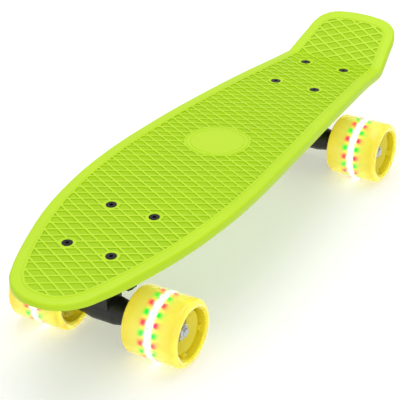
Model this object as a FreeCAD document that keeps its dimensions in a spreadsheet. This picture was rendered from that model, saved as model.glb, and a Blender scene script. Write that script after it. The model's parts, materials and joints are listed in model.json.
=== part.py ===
"""Small plastic cruiser skateboard with light-up wheels.

The frame: +X to the rider's left when facing the nose, +Y towards the tail, +Z up. The origin is on the
ground, below the middle of the board's length and width. All sizes are in millimetres and degrees.
"""
import FreeCAD
import Part
import math
import os
import Sketcher

Vector = FreeCAD.Vector
Rotation = FreeCAD.Rotation
Placement = FreeCAD.Placement

document = FreeCAD.newDocument("skateboard")
sheet = document.addObject("Spreadsheet::Sheet", "Sizes")


# ---------------------------------------------------------------- sizes that stay bound to the sheet


class Size:
    """A number together with the sheet formula behind it, so that sums of sizes stay bound to cells."""

    def __init__(self, number, formula):
        self.number = float(number)
        self.formula = formula

    def __add__(self, other):
        other = as_size(other)
        return Size(self.number + other.number, f"({self.formula} + {other.formula})")

    def __sub__(self, other):
        other = as_size(other)
        return Size(self.number - other.number, f"({self.formula} - {other.formula})")

    def __mul__(self, other):
        other = as_size(other)
        return Size(self.number * other.number, f"({self.formula} * {other.formula})")

    def __truediv__(self, other):
        other = as_size(other)
        return Size(self.number / other.number, f"({self.formula} / {other.formula})")

    def __neg__(self):
        return Size(-self.number, f"(0 - {self.formula})")

    __radd__ = __add__

    def __rsub__(self, other):
        return as_size(other) - self

    __rmul__ = __mul__


def as_size(value):
    """A plain number becomes a Size whose formula is that number."""
    if isinstance(value, Size):
        return value
    return Size(value, f"({value:.6f})")


def sine(angle):
    return Size(math.sin(math.radians(angle.number)), f"sin({angle.formula})")


def cosine(angle):
    return Size(math.cos(math.radians(angle.number)), f"cos({angle.formula})")


def cell(alias, number, note):
    """Write one driving dimension to the sheet and return it."""
    cell.row += 1
    sheet.set(f"A{cell.row}", note)
    sheet.set(f"B{cell.row}", str(number))
    sheet.setAlias(f"B{cell.row}", alias)
    return Size(number, f"Sizes.{alias}")


cell.row = 0

# deck
nose_reach = cell("nose_reach", 282.0, "camber apex to the nose tip, along the board")
tail_reach = cell("tail_reach", 291.0, "camber apex to the tail end, along the board")
widest_half = cell("widest_half", 74.6, "half the deck's greatest width")
nose_round = cell("nose_round", 45.0, "radius of the nose in plan")
kick_half = cell("kick_half", 50.6, "half the width where the tail bends up")
tail_half = cell("tail_half", 42.5, "half the width at the tail's corners")
deck_thick = cell("deck_thick", 9.0, "thickness of the moulded deck")
deck_edge_round = cell("deck_edge_round", 2.6, "radius along the deck's top and bottom edges")
camber_round = cell("camber_round", 2677.0, "radius of the deck's crown along its length")
kick_start = cell("kick_start", 225.2, "camber apex to the kicktail's bend")
kick_angle = cell("kick_angle", 24.3, "rise of the kicktail above level")
kick_bend_round = cell("kick_bend_round", 14.0, "radius of the kicktail's bend, on top")
badge_half = cell("badge_half", 28.5, "radius of the bare round medallion in the middle of the deck")
badge_rise = cell("badge_rise", 0.5, "height of the medallion over the camber apex")
pad_thick = cell("pad_thick", 3.5, "truck pad moulded under the deck")
pad_wide = cell("pad_wide", 60.0, "width of the truck pad")
pad_long = cell("pad_long", 86.0, "length of the truck pad")

# bolts through the deck
wheelbase = cell("wheelbase", 350.0, "distance between the two bolt patterns")
hole_across = cell("hole_across", 41.28, "bolt pattern across the board")
hole_along = cell("hole_along", 63.5, "bolt pattern along the board")
bolt_wide = cell("bolt_wide", 5.0, "deck bolt diameter")
bolt_hole_slack = cell("bolt_hole_slack", 0.3, "radial clearance of the bolt holes")
bolt_head_wide = cell("bolt_head_wide", 9.2, "countersunk head diameter")
bolt_sink = cell("bolt_sink", 0.25, "bolt head's depth below the deck's top")
bolt_socket_wide = cell("bolt_socket_wide", 3.0, "hexagon socket across flats")
bolt_socket_deep = cell("bolt_socket_deep", 1.9, "depth of the hexagon socket")
deck_nut_wide = cell("deck_nut_wide", 8.0, "deck nut across flats")
deck_nut_thick = cell("deck_nut_thick", 5.0, "deck nut height")
thread_slack = cell("thread_slack", 0.05, "radial gap between a plain bolt and its plain nut")
bolt_proud = cell("bolt_proud", 1.5, "bolt end past its nut")

# truck, in its own frame: Y outboard, Z up, origin on top of the base plate
truck_height = cell("truck_height", 55.4, "base plate top to axle")
axle_outboard = cell("axle_outboard", 12.9, "bolt pattern middle to axle, along the base plate")
plate_long = cell("plate_long", 84.0, "base plate length")
plate_wide = cell("plate_wide", 57.0, "base plate width")
plate_thick = cell("plate_thick", 5.0, "base plate thickness")
plate_corner_round = cell("plate_corner_round", 9.0, "base plate corner radius")
ring_inboard = cell("ring_inboard", 12.0, "bolt pattern middle to the hanger ring's middle")
ring_drop = cell("ring_drop", 33.0, "base plate top to the hanger ring's middle")
pivot_outboard = cell("pivot_outboard", 31.0, "bolt pattern middle to the pivot point")
pivot_drop = cell("pivot_drop", 13.0, "base plate top to the pivot point")
kingpin_lean = cell("kingpin_lean", 20.0, "lean of the kingpin from upright")
kingpin_wide = cell("kingpin_wide", 9.5, "kingpin diameter")
kingpin_slack = cell("kingpin_slack", 0.15, "radial clearance around the kingpin")
kingpin_head_wide = cell("kingpin_head_wide", 14.0, "kingpin head diameter")
kingpin_head_thick = cell("kingpin_head_thick", 4.5, "kingpin head height")
kingpin_proud = cell("kingpin_proud", 2.5, "kingpin end past its nut")
kingpin_nut_wide = cell("kingpin_nut_wide", 14.3, "kingpin nut across flats")
kingpin_nut_thick = cell("kingpin_nut_thick", 7.5, "kingpin nut height")
ring_thick = cell("ring_thick", 8.0, "hanger ring thickness")
ring_outer = cell("ring_outer", 14.5, "hanger ring outer radius")
ring_bore = cell("ring_bore", 7.5, "hanger ring bore radius")
bushing_round = cell("bushing_round", 11.2, "bushing radius at its ends")
bushing_belly = cell("bushing_belly", 0.9, "bulge of the board side bushing")
bushing_bore_slack = cell("bushing_bore_slack", 0.35, "radial clearance of the bushings on the kingpin")
board_bushing_tall = cell("board_bushing_tall", 13.0, "board side bushing height")
road_bushing_tall = cell("road_bushing_tall", 9.0, "road side bushing height")
road_bushing_tip = cell("road_bushing_tip", 8.5, "road side bushing radius at its nut end")
cup_thick = cell("cup_thick", 1.5, "cup washer thickness")
cup_lip = cell("cup_lip", 1.2, "height and width of a cup washer's lip")
cup_slack = cell("cup_slack", 0.4, "gap between a cup washer's lip and its bushing")
boss_round = cell("boss_round", 11.8, "radius of the base plate's kingpin boss")
pivot_pin_round = cell("pivot_pin_round", 4.6, "radius of the hanger's pivot pin")
pivot_slack = cell("pivot_slack", 0.1, "running clearance of the pivot pin in its cup")
pivot_cup_wall = cell("pivot_cup_wall", 2.2, "wall of the pivot cup")
pivot_cup_deep = cell("pivot_cup_deep", 9.0, "depth of the pivot cup")
pivot_cup_seat_slack = cell("pivot_cup_seat_slack", 0.05, "gap between the pivot cup and its housing")
housing_wall = cell("housing_wall", 3.0, "wall of the base plate around the pivot cup")
stem_root_round = cell("stem_root_round", 6.0, "radius of the hanger's pivot stem at its root")

# axle and hanger beam
hanger_half = cell("hanger_half", 41.4, "half the hanger's width, face to face")
beam_mid_round = cell("beam_mid_round", 12.0, "hanger beam radius in the middle")
beam_end_round = cell("beam_end_round", 8.2, "hanger beam radius near its ends")
beam_face_round = cell("beam_face_round", 6.6, "hanger beam radius on its end face")
beam_mid_half = cell("beam_mid_half", 10.0, "half the length of the thick middle")
beam_taper_half = cell("beam_taper_half", 30.0, "where the hanger beam's taper ends")
web_half = cell("web_half", 7.0, "half the thickness of the hanger's web")
axle_wide = cell("axle_wide", 7.94, "axle diameter")
axle_slack = cell("axle_slack", 0.04, "radial gap around the axle")
axle_proud = cell("axle_proud", 1.0, "axle end past its nut")
washer_thick = cell("washer_thick", 0.9, "speed washer thickness")
washer_round = cell("washer_round", 6.2, "speed washer radius")
axle_nut_wide = cell("axle_nut_wide", 12.7, "axle nut across flats")
axle_nut_thick = cell("axle_nut_thick", 5.5, "axle nut height")

# wheel, in its own frame: Z outward along the axle, origin in the wheel's middle
wheel_wide = cell("wheel_wide", 51.5, "tyre width")
wheel_diameter = cell("wheel_diameter", 58.0, "tyre diameter")
tyre_edge_round = cell("tyre_edge_round", 4.9, "radius of the tyre's shoulders")
core_round = cell("core_round", 23.0, "outer radius of the wheel core")
core_half = cell("core_half", 23.7, "half the wheel core's width")
rim_wall = cell("rim_wall", 1.6, "wall of the core's outer tube")
hub_round = cell("hub_round", 18.4, "radius of the core's hub")
hub_half = cell("hub_half", 19.2, "half the hub's width at its rim")
hub_lip = cell("hub_lip", 1.0, "flat lip around the hub's dish")
channel_floor = cell("channel_floor", 7.0, "wheel middle to the floor of the ring channel")
post_round = cell("post_round", 2.8, "radius of the four posts in the ring channel")
post_sink = cell("post_sink", 2.2, "core end to the face of a post")
post_hole_round = cell("post_hole_round", 1.2, "radius of the hole in a post")
post_hole_deep = cell("post_hole_deep", 6.0, "depth of the hole in a post")
tyre_slack = cell("tyre_slack", 0.05, "gap between the tyre and what is moulded into it")
board_thick = cell("board_thick", 0.8, "thickness of the flexible light board around the core")
board_wide = cell("board_wide", 15.0, "width of the light board")
led_long = cell("led_long", 11.0, "light package along the axle")
led_across = cell("led_across", 2.4, "light package around the wheel")
led_tall = cell("led_tall", 0.9, "light package height")
light_space = cell("light_space", 0.4, "gap between the lights and the tyre")

# 608 ball bearings
bearing_bore = cell("bearing_bore", 8.06, "bore of the inner race")
bearing_wide = cell("bearing_wide", 22.0, "bearing outer diameter")
bearing_thick = cell("bearing_thick", 7.0, "bearing width")
bearing_spacing = cell("bearing_spacing", 11.0, "gap between the two bearings of a wheel")
bearing_seat_slack = cell("bearing_seat_slack", 0.03, "radial gap of a bearing in its seat")
bearing_shoulder = cell("bearing_shoulder", 1.4, "height of the shoulder between the bearings")
ball_wide = cell("ball_wide", 3.969, "ball diameter")
ball_pitch_round = cell("ball_pitch_round", 7.5, "radius of the ball circle")
ball_slack = cell("ball_slack", 0.06, "clearance around each ball")
cage_half_wall = cell("cage_half_wall", 0.5, "half the cage ring's wall")
cage_half_thick = cell("cage_half_thick", 2.6, "half the cage ring's width")
shield_thick = cell("shield_thick", 0.5, "bearing shield thickness")
shield_sink = cell("shield_sink", 0.1, "bearing face to the shield")
shield_slack = cell("shield_slack", 0.3, "gap between the shield and the inner race")
magnet_round = cell("magnet_round", 8.4, "radius of the magnet spacer between the bearings")
magnet_end_round = cell("magnet_end_round", 5.3, "radius of the magnet spacer where it meets a race")
magnet_step = cell("magnet_step", 0.6, "length of the magnet spacer's narrow ends")

LED_COUNT = 20
BALL_COUNT = 7
POST_COUNT = 4
FIRST_POST_ANGLE = 70.0
WHEEL_ENDS = (1, -1)
document.recompute()

# ---------------------------------------------------------------- worked out from the sizes above

wheel_round = wheel_diameter / 2
bearing_round = bearing_wide / 2
axle_round = axle_wide / 2
kingpin_round = kingpin_wide / 2
bearing_near = bearing_spacing / 2
bearing_far = bearing_near + bearing_thick
wheel_middle = hanger_half + washer_thick + bearing_far
channel_outer = core_round - rim_wall
post_circle = (hub_round + channel_outer) / 2
board_outer = core_round + tyre_slack + board_thick
led_outer = board_outer + tyre_slack + led_tall
inner_race_round = ball_pitch_round - ball_wide / 2 - ball_slack
outer_race_round = ball_pitch_round + ball_wide / 2 + ball_slack
half_ring = ring_thick / 2
board_cup_at = half_ring + board_bushing_tall
boss_at = board_cup_at + cup_thick
road_cup_at = -half_ring - road_bushing_tall
nut_at = road_cup_at - cup_thick
kingpin_end_at = nut_at - kingpin_nut_thick - kingpin_proud
head_under_at = boss_at + 7.2
head_top_at = head_under_at + kingpin_head_thick
plate_at = ring_drop / cosine(kingpin_lean)
cup_round = pivot_pin_round + pivot_slack + pivot_cup_wall
housing_round = cup_round + pivot_cup_seat_slack + housing_wall
bolt_stack = deck_thick + pad_thick + plate_thick
bolt_long = bolt_stack + deck_nut_thick + bolt_proud

steer_run = (pivot_outboard + ring_inboard).number
steer_climb = (ring_drop - pivot_drop).number
steer_reach = math.hypot(steer_run, steer_climb)
steer_slope = math.degrees(math.atan2(steer_climb, steer_run))
camber_lean = math.degrees(math.asin(wheelbase.number / 2 / camber_round.number))

# The board stands on its wheels, so the crown's height follows from the trucks that carry it.
pattern_radius = (camber_round - deck_thick - pad_thick).number
lean = math.radians(camber_lean)
axle_below_pattern = truck_height.number * math.cos(lean) + axle_outboard.number * math.sin(lean)
pattern_height = wheel_round.number + axle_below_pattern
crown_centre_height = pattern_height - pattern_radius * math.cos(lean)
apex_height = crown_centre_height + camber_round.number
apex_along = (nose_reach - tail_reach).number / 2


def truck_place(end):
    """The truck frame at the tail end (+1) or at the nose end (-1)."""
    along = end * pattern_radius * math.sin(lean) + apex_along
    turn = Rotation(Vector(0, 0, 1), 0 if end > 0 else 180)
    tilt = Rotation(Vector(1, 0, 0), -camber_lean)
    return Placement(Vector(0, along, pattern_height), turn.multiply(tilt))


def move(x, y, z):
    return Placement(Vector(x, y, z), Rotation())


def turn_about(axis, angle):
    return Placement(Vector(0, 0, 0), Rotation(axis, angle))


X_AXIS = Vector(1, 0, 0)
Y_AXIS = Vector(0, 1, 0)
Z_AXIS = Vector(0, 0, 1)


def stack_place(end):
    """The kingpin's frame: origin in the middle of the hanger ring, Z up along the kingpin."""
    at_ring = move(0, -ring_inboard.number, -ring_drop.number)
    return truck_place(end) * at_ring * turn_about(X_AXIS, -kingpin_lean.number)


def pivot_place(end):
    """The pivot's frame: origin at the pivot point, Z along the steering axis, away from the ring."""
    at_pivot = move(0, pivot_outboard.number, -pivot_drop.number)
    return truck_place(end) * at_pivot * turn_about(X_AXIS, steer_slope - 90)


def axle_place(end):
    return truck_place(end) * move(0, axle_outboard.number, -truck_height.number)


def wheel_place(end, side):
    """The wheel's frame on the board's left (+1) or right (-1): origin in its middle, Z outward."""
    truck_side = side * end
    outward = turn_about(Y_AXIS, 90 * truck_side)
    return axle_place(end) * move(truck_side * wheel_middle.number, 0, 0) * outward


# ---------------------------------------------------------------- small helpers that draw and build


def origin_part(body, role):
    """A body's own origin plane or axis."""
    for feature in body.Origin.OriginFeatures:
        if feature.Role == role:
            return feature
    raise ValueError(role)


def new_body(label):
    body = document.addObject("PartDesign::Body", label)
    body.Label = label
    return body


def new_sketch(body, plane, offset=None):
    sketch = body.newObject("Sketcher::SketchObject", f"{body.Name}_sketch")
    sketch.AttachmentSupport = [(origin_part(body, plane), "")]
    sketch.MapMode = "FlatFace"
    if offset is not None:
        sketch.setExpression("AttachmentOffset.Base.z", offset.formula)
    return sketch


def pin_point(sketch, line, point, corner):
    """Hold one end of a line at a place given by two sizes."""
    for kind, value in zip(("DistanceX", "DistanceY"), corner):
        index = sketch.addConstraint(Sketcher.Constraint(kind, -1, 1, line, point, value.number))
        sketch.setExpression(f"Constraints[{index}]", value.formula)


def draw_polygon(sketch, corners):
    """A closed outline of straight lines, each corner bound to its sizes."""
    corners = [(as_size(first), as_size(second)) for first, second in corners]
    lines = []
    for start, finish in zip(corners, corners[1:] + corners[:1]):
        ends = [Vector(corner[0].number, corner[1].number, 0) for corner in (start, finish)]
        lines.append(sketch.addGeometry(Part.LineSegment(*ends), False))
    for line, following in zip(lines, lines[1:] + lines[:1]):
        sketch.addConstraint(Sketcher.Constraint("Coincident", line, 2, following, 1))
    for line, corner in zip(lines, corners):
        pin_point(sketch, line, 1, corner)


def draw_circle(sketch, centre, radius):
    centre = tuple(as_size(value) for value in centre)
    radius = as_size(radius)
    place = Vector(centre[0].number, centre[1].number, 0)
    circle = sketch.addGeometry(Part.Circle(place, Z_AXIS, radius.number), False)
    pin_point(sketch, circle, 3, centre)
    index = sketch.addConstraint(Sketcher.Constraint("Radius", circle, radius.number))
    sketch.setExpression(f"Constraints[{index}]", radius.formula)


def draw_hexagon(sketch, across_flats):
    """A hexagon about the sketch's origin, with flats above and below."""
    reach = as_size(across_flats) / math.sqrt(3)
    angles = [60 * step for step in range(6)]
    draw_polygon(
        sketch,
        [(reach * math.cos(math.radians(a)), reach * math.sin(math.radians(a))) for a in angles],
    )


def draw_axis(sketch, start, finish):
    """A construction line that a revolution turns about."""
    corners = [tuple(as_size(value) for value in corner) for corner in (start, finish)]
    ends = [Vector(corner[0].number, corner[1].number, 0) for corner in corners]
    line = sketch.addGeometry(Part.LineSegment(*ends), True)
    for point, corner in zip((1, 2), corners):
        pin_point(sketch, line, point, corner)


def add_pad(body, sketch, length, both_ways=False, reverse=False):
    pad = body.newObject("PartDesign::Pad", f"{body.Name}_pad")
    pad.Profile = sketch
    pad.setExpression("Length", as_size(length).formula)
    pad.Midplane = both_ways
    pad.Reversed = reverse
    return pad


def add_pocket(body, sketch, depth, reverse=False, both_ways=False):
    pocket = body.newObject("PartDesign::Pocket", f"{body.Name}_pocket")
    pocket.Profile = sketch
    pocket.setExpression("Length", as_size(depth).formula)
    pocket.Reversed = reverse
    pocket.Midplane = both_ways
    return pocket


def add_turned(body, sketch, kind="Revolution", own_axis=False):
    """Revolve a sketch about the body's Z axis, or about the sketch's own construction line."""
    turned = body.newObject(f"PartDesign::{kind}", f"{body.Name}_{kind.lower()}")
    turned.Profile = sketch
    if own_axis:
        turned.ReferenceAxis = (sketch, ["Axis0"])
    else:
        turned.ReferenceAxis = (origin_part(body, "Z_Axis"), [""])
    turned.Angle = 360
    return turned


def round_edges(body, radius, wanted):
    """Fillet the edges of the body's last feature for which wanted(edge) is true."""
    document.recompute()
    base = body.Tip
    names = [f"Edge{i + 1}" for i, edge in enumerate(base.Shape.Edges) if wanted(edge)]
    fillet = body.newObject("PartDesign::Fillet", f"{body.Name}_fillet")
    fillet.Base = (base, names)
    fillet.setExpression("Radius", radius.formula)
    return fillet


def turned_body(label, profile):
    """A body of revolution about its own Z axis, from corners given as (radius, height)."""
    body = new_body(label)
    sketch = new_sketch(body, "XZ_Plane")
    draw_polygon(sketch, profile)
    add_turned(body, sketch)
    return body


def ring_profile(inner, outer, low, high):
    return [(inner, low), (outer, low), (outer, high), (inner, high)]


def grouped(label, master, places):
    """One node of separate solids: copies of a master body at each of the places."""
    document.recompute()
    copies = []
    for place in places:
        copy = master.Shape.copy()
        copy.Placement = place * copy.Placement
        copies.append(copy)
    group = document.addObject("Part::Feature", label)
    group.Label = label
    group.Shape = Part.makeCompound(copies)
    return group


sub_parts = []


def keep(part, place=None):
    """Put a finished sub-part in its place and list it for writing."""
    if place is not None:
        part.Placement = place
    sub_parts.append(part)


# ---------------------------------------------------------------- deck
# The deck is one moulding with a spline outline on a crowned and kicked surface, which sketches and
# pads don't give, so its shape is made from curves that read their sizes from the sheet.


def read(size):
    """A size's present value, as the sheet holds it."""
    return float(sheet.get(size.formula.split(".")[1]))


def deck_outline():
    """The closed plan of the deck, from the nose round to the tail and back."""
    nose = read(nose_reach)
    tail = read(tail_reach)
    widest = read(widest_half)
    bend_half = read(kick_half)
    corner_half = read(tail_half)
    bend = read(kick_start)
    radius = read(nose_round)
    sweep = math.radians(55)
    centre_along = radius - nose
    shoulder = (radius * math.sin(sweep), centre_along - radius * math.cos(sweep))
    side = [
        shoulder,
        (widest - 27.5, 44 - nose),
        (widest - 17.8, 75 - nose),
        (widest - 9.8, 105 - nose),
        (widest - 3.8, 141 - nose),
        (widest, 196 - nose),
        (bend_half + 19.5, bend - 215),
        (bend_half + 13.8, bend - 150),
        (bend_half + 7.2, bend - 80),
        (bend_half + 1.6, bend - 25),
        (bend_half, bend),
        (corner_half + 3.4, tail - 34),
        (corner_half, tail - 16.5),
        (corner_half - 4.6, tail - 9.6),
        (corner_half - 13.2, tail - 4.1),
        (corner_half - 28.5, tail - 0.7),
        (0, tail),
    ]
    curve = Part.BSplineCurve()
    curve.interpolate(
        Points=[Vector(across, along, 0) for across, along in side],
        InitialTangent=Vector(math.cos(sweep), math.sin(sweep), 0),
        FinalTangent=Vector(-1, 0, 0),
    )
    right = curve.toShape()
    left = right.mirror(Vector(0, 0, 0), X_AXIS)
    nose_arc = Part.Arc(Vector(-shoulder[0], shoulder[1], 0), Vector(0, -nose, 0), Vector(*shoulder, 0))
    return Part.Wire(Part.__sortEdges__([nose_arc.toShape(), right, left]))


def crown_point(radius, along):
    """A point of a circle about the crown's centre, in the board's middle plane."""
    height = math.sqrt(radius * radius - along * along)
    return Vector(0, along, height - read(camber_round))


def deck_side_profile():
    """The deck seen from the side: crown, bend and kicktail, with the apex at the origin."""
    crown = read(camber_round)
    thick = read(deck_thick)
    over = 20
    rise = math.radians(read(kick_angle))
    bend_radius = read(kick_bend_round)
    start = read(kick_start)
    # The bend's arc is tangent to the crown at the start and to the kicktail at its end.
    slope = math.asin(start / crown)
    outward = Vector(0, math.sin(slope), math.cos(slope))
    on_top = crown_point(crown, start)
    bend_centre = on_top + outward * bend_radius
    run = read(tail_reach) + over - start
    edges = []
    ends = []
    for depth, radius in ((0, bend_radius), (thick, bend_radius + thick)):
        crown_radius = crown - depth
        first = crown_point(crown_radius, -read(nose_reach) - over)
        middle = crown_point(crown_radius, 0)
        last = on_top - outward * depth
        half_turn = (rise - slope) / 2
        bend_middle = bend_centre + Vector(0, math.sin(half_turn), -math.cos(half_turn)) * radius
        bend_end = bend_centre + Vector(0, math.sin(rise), -math.cos(rise)) * radius
        kick_end = bend_end + Vector(0, math.cos(rise), math.sin(rise)) * run
        edges.append(Part.Arc(first, middle, last).toShape())
        edges.append(Part.Arc(last, bend_middle, bend_end).toShape())
        edges.append(Part.LineSegment(bend_end, kick_end).toShape())
        ends.append((first, kick_end))
    for top, bottom in zip(ends[0], ends[1]):
        edges.append(Part.LineSegment(top, bottom).toShape())
    return Part.Wire(Part.__sortEdges__(edges))


def is_rim_edge(edge):
    """True for the edges that run round the deck's top and bottom faces, not for the walls' seams."""
    first, last = edge.Vertexes[0].Point, edge.Vertexes[-1].Point
    upright = abs(first.x - last.x) < 0.01 and abs(first.y - last.y) < 5 and edge.Length < 12
    middle = edge.valueAt((edge.FirstParameter + edge.LastParameter) / 2)
    crosses = abs(middle.x) < 1 and edge.Length > 40 and abs(first.y - last.y) < 0.01
    return not upright and not crosses


def make_deck():
    wide = 4 * read(widest_half)
    side_face = Part.Face(deck_side_profile())
    side_face.translate(Vector(-wide / 2, 0, 0))
    slab = side_face.extrude(Vector(wide, 0, 0))
    plan = Part.Face(deck_outline())
    plan.translate(Vector(0, 0, -200))
    solid = slab.common(plan.extrude(Vector(0, 0, 400)))
    rims = [edge for edge in solid.Edges if is_rim_edge(edge)]
    solid = solid.makeFillet(read(deck_edge_round), rims)
    solid.translate(Vector(0, apex_along, apex_height))
    sunk = 3.0
    pad_solid = Part.makeBox(
        read(pad_wide),
        read(pad_long),
        read(pad_thick) + sunk,
        Vector(-read(pad_wide) / 2, -read(pad_long) / 2, 0),
    )
    pad_solid = pad_solid.makeFillet(6, [e for e in pad_solid.Edges if abs(e.tangentAt(0).z) > 0.9])
    for end in (1, -1):
        pad = pad_solid.copy()
        pad.Placement = truck_place(end)
        solid = solid.fuse(pad)
    badge = Part.makeCylinder(
        read(badge_half), read(badge_rise) + sunk, Vector(0, apex_along - 5, apex_height - sunk)
    )
    solid = solid.fuse(badge)
    drill_round = read(bolt_wide) / 2 + read(bolt_hole_slack)
    head = read(bolt_head_wide) / 2
    top = read(deck_thick) + read(pad_thick)
    sink_slack = 0.1
    for end in (1, -1):
        for across in (-1, 1):
            for along in (-1, 1):
                place = truck_place(end) * bolt_place(across, along)
                drill = Part.makeCylinder(drill_round, top + 10, Vector(0, 0, -5))
                low = head + sink_slack - drill_round
                seat = top - read(bolt_sink)
                cone = Part.makeCone(drill_round, head + sink_slack, low, Vector(0, 0, seat - low))
                above = Part.makeCylinder(head + sink_slack, 5, Vector(0, 0, seat))
                cutter = drill.fuse([cone, above])
                cutter.Placement = place
                solid = solid.cut(cutter)
    return solid.removeSplitter()


def bolt_place(across, along):
    return move(across * hole_across.number / 2, along * hole_along.number / 2, 0)


deck = document.addObject("Part::Feature", "deck")
deck.Label = "deck"
deck.Shape = make_deck()
keep(deck)

# ---------------------------------------------------------------- deck bolts and nuts
# A bolt's frame has its origin where the bolt meets the base plate's top face.

bolt_top = deck_thick + pad_thick - bolt_sink
head_round = bolt_head_wide / 2
shank_round = bolt_wide / 2
bolt = turned_body(
    "deck_bolt_master",
    [
        (0, bolt_top - bolt_long),
        (shank_round - 0.5, bolt_top - bolt_long),
        (shank_round, bolt_top - bolt_long + 0.5),
        (shank_round, bolt_top - (head_round - shank_round)),
        (head_round, bolt_top),
        (0, bolt_top),
    ],
)
socket = new_sketch(bolt, "XY_Plane", bolt_top)
draw_hexagon(socket, bolt_socket_wide)
add_pocket(bolt, socket, bolt_socket_deep)

bolt_places = [
    truck_place(end) * bolt_place(across, along)
    for end in (1, -1)
    for across in (-1, 1)
    for along in (-1, 1)
]
keep(grouped("deck_bolts", bolt, bolt_places))


def lock_nut(label, across_flats, thick, bore, top):
    """A hexagon lock nut with a round collar, hanging below the given height."""
    nut = new_body(label)
    hexagon = new_sketch(nut, "XY_Plane", top)
    draw_hexagon(hexagon, across_flats)
    draw_circle(hexagon, (0, 0), bore)
    add_pad(nut, hexagon, thick * 0.72, reverse=True)
    collar = new_sketch(nut, "XZ_Plane")
    low = top - thick
    high = top - thick * 0.6
    draw_polygon(
        collar,
        [
            (bore, low),
            (across_flats * 0.36, low),
            (across_flats * 0.44, low + thick * 0.12),
            (across_flats * 0.44, high),
            (bore, high),
        ],
    )
    add_turned(nut, collar)
    return nut


deck_nut = lock_nut(
    "deck_nut_master", deck_nut_wide, deck_nut_thick, shank_round + thread_slack, -plate_thick
)
keep(grouped("deck_nuts", deck_nut, bolt_places))

# ---------------------------------------------------------------- trucks: what stays with the deck


def along_stack(radius, height):
    """A point beside the kingpin, in the truck's middle plane, as (outboard, up)."""
    across = cosine(kingpin_lean)
    down = sine(kingpin_lean)
    outboard = radius * across + height * down - ring_inboard
    up = height * across - radius * down - ring_drop
    return outboard, up


steer_sine = Size(math.sin(math.radians(steer_slope)), f"({steer_climb:.6f} / {steer_reach:.6f})")
steer_cosine = Size(math.cos(math.radians(steer_slope)), f"({steer_run:.6f} / {steer_reach:.6f})")


def along_steer(radius, distance):
    """A point beside the steering axis, as (outboard, up), at a distance past the pivot point."""
    outboard = pivot_outboard + steer_cosine * distance - steer_sine * radius
    up = steer_sine * distance + steer_cosine * radius - pivot_drop
    return outboard, up


def turned_in_plane(body, corners, axis, kind):
    """Revolve a profile drawn in the truck's middle plane about a slanting axis."""
    sketch = new_sketch(body, "YZ_Plane")
    draw_polygon(sketch, corners)
    draw_axis(sketch, *axis)
    return add_turned(body, sketch, kind, own_axis=True)


def slanting_cylinder(body, point, radius, low, high, kind):
    """Add or cut a cylinder about the kingpin (point=along_stack) or the steering axis."""
    corners = [point(0, low), point(radius, low), point(radius, high), point(0, high)]
    return turned_in_plane(body, corners, (point(0, low), point(0, high)), kind)


def make_baseplate(label):
    body = new_body(label)
    plate = new_sketch(body, "XY_Plane")
    half_wide = plate_wide / 2
    half_long = plate_long / 2
    draw_polygon(
        plate,
        [(-half_wide, -half_long), (half_wide, -half_long), (half_wide, half_long), (-half_wide, half_long)],
    )
    add_pad(body, plate, plate_thick, reverse=True)
    round_edges(body, plate_corner_round, lambda edge: abs(edge.tangentAt(edge.FirstParameter).z) > 0.9)
    slanting_cylinder(body, as_stack, boss_round, boss_at, plate_at - 2.0, "Revolution")
    half_cup = pivot_cup_deep / 2
    slanting_cylinder(body, as_steer, housing_round, -half_cup, half_cup + housing_wall, "Revolution")
    above = new_sketch(body, "XY_Plane")
    reach = plate_long
    draw_polygon(above, [(-reach, -reach), (reach, -reach), (reach, reach), (-reach, reach)])
    add_pocket(body, above, 20, reverse=True)
    bore = kingpin_round + kingpin_slack
    head_hole = kingpin_head_wide / 2 + 2 * kingpin_slack
    slanting_cylinder(body, as_stack, bore, boss_at - 5, plate_at + 5, "Groove")
    slanting_cylinder(body, as_stack, head_hole, head_under_at, plate_at + 10, "Groove")
    cup_hole = cup_round + pivot_cup_seat_slack
    slanting_cylinder(body, as_steer, cup_hole, -half_cup - 5, half_cup, "Groove")
    holes = new_sketch(body, "XY_Plane")
    for across in (-1, 1):
        for along in (-1, 1):
            centre = (hole_across * (across / 2), hole_along * (along / 2))
            draw_circle(holes, centre, shank_round + bolt_hole_slack)
    add_pocket(body, holes, plate_thick * 4, both_ways=True)
    return body


def as_stack(radius, height):
    return along_stack(as_size(radius), as_size(height))


def as_steer(radius, distance):
    return along_steer(as_size(radius), as_size(distance))


def make_kingpin(label):
    head = kingpin_head_wide / 2
    return turned_body(
        label,
        [
            (0, kingpin_end_at),
            (kingpin_round - 1, kingpin_end_at),
            (kingpin_round, kingpin_end_at + 1),
            (kingpin_round, head_under_at),
            (head, head_under_at),
            (head, head_top_at - 1),
            (head - 1, head_top_at),
            (0, head_top_at),
        ],
    )


def make_board_bushing(label):
    bore = kingpin_round + bushing_bore_slack
    middle = (half_ring + board_cup_at) / 2
    return turned_body(
        label,
        [
            (bore, half_ring),
            (bushing_round, half_ring),
            (bushing_round + bushing_belly, middle),
            (bushing_round, board_cup_at),
            (bore, board_cup_at),
        ],
    )


def make_road_bushing(label):
    bore = kingpin_round + bushing_bore_slack
    return turned_body(
        label,
        [
            (bore, road_cup_at),
            (road_bushing_tip, road_cup_at),
            (bushing_round, -half_ring - 2),
            (bushing_round, -half_ring),
            (bore, -half_ring),
        ],
    )


def make_cup_washer(label, seat, lip_inner, outward):
    """A cup washer whose flat lies on a bushing's end and whose lip reaches back over it."""
    bore = kingpin_round + kingpin_slack
    rim = lip_inner + cup_lip
    back = seat + cup_thick * outward
    lip = seat - cup_lip * outward
    return turned_body(
        label,
        [(bore, seat), (lip_inner, seat), (lip_inner, lip), (rim, lip), (rim, back), (bore, back)],
    )


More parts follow.
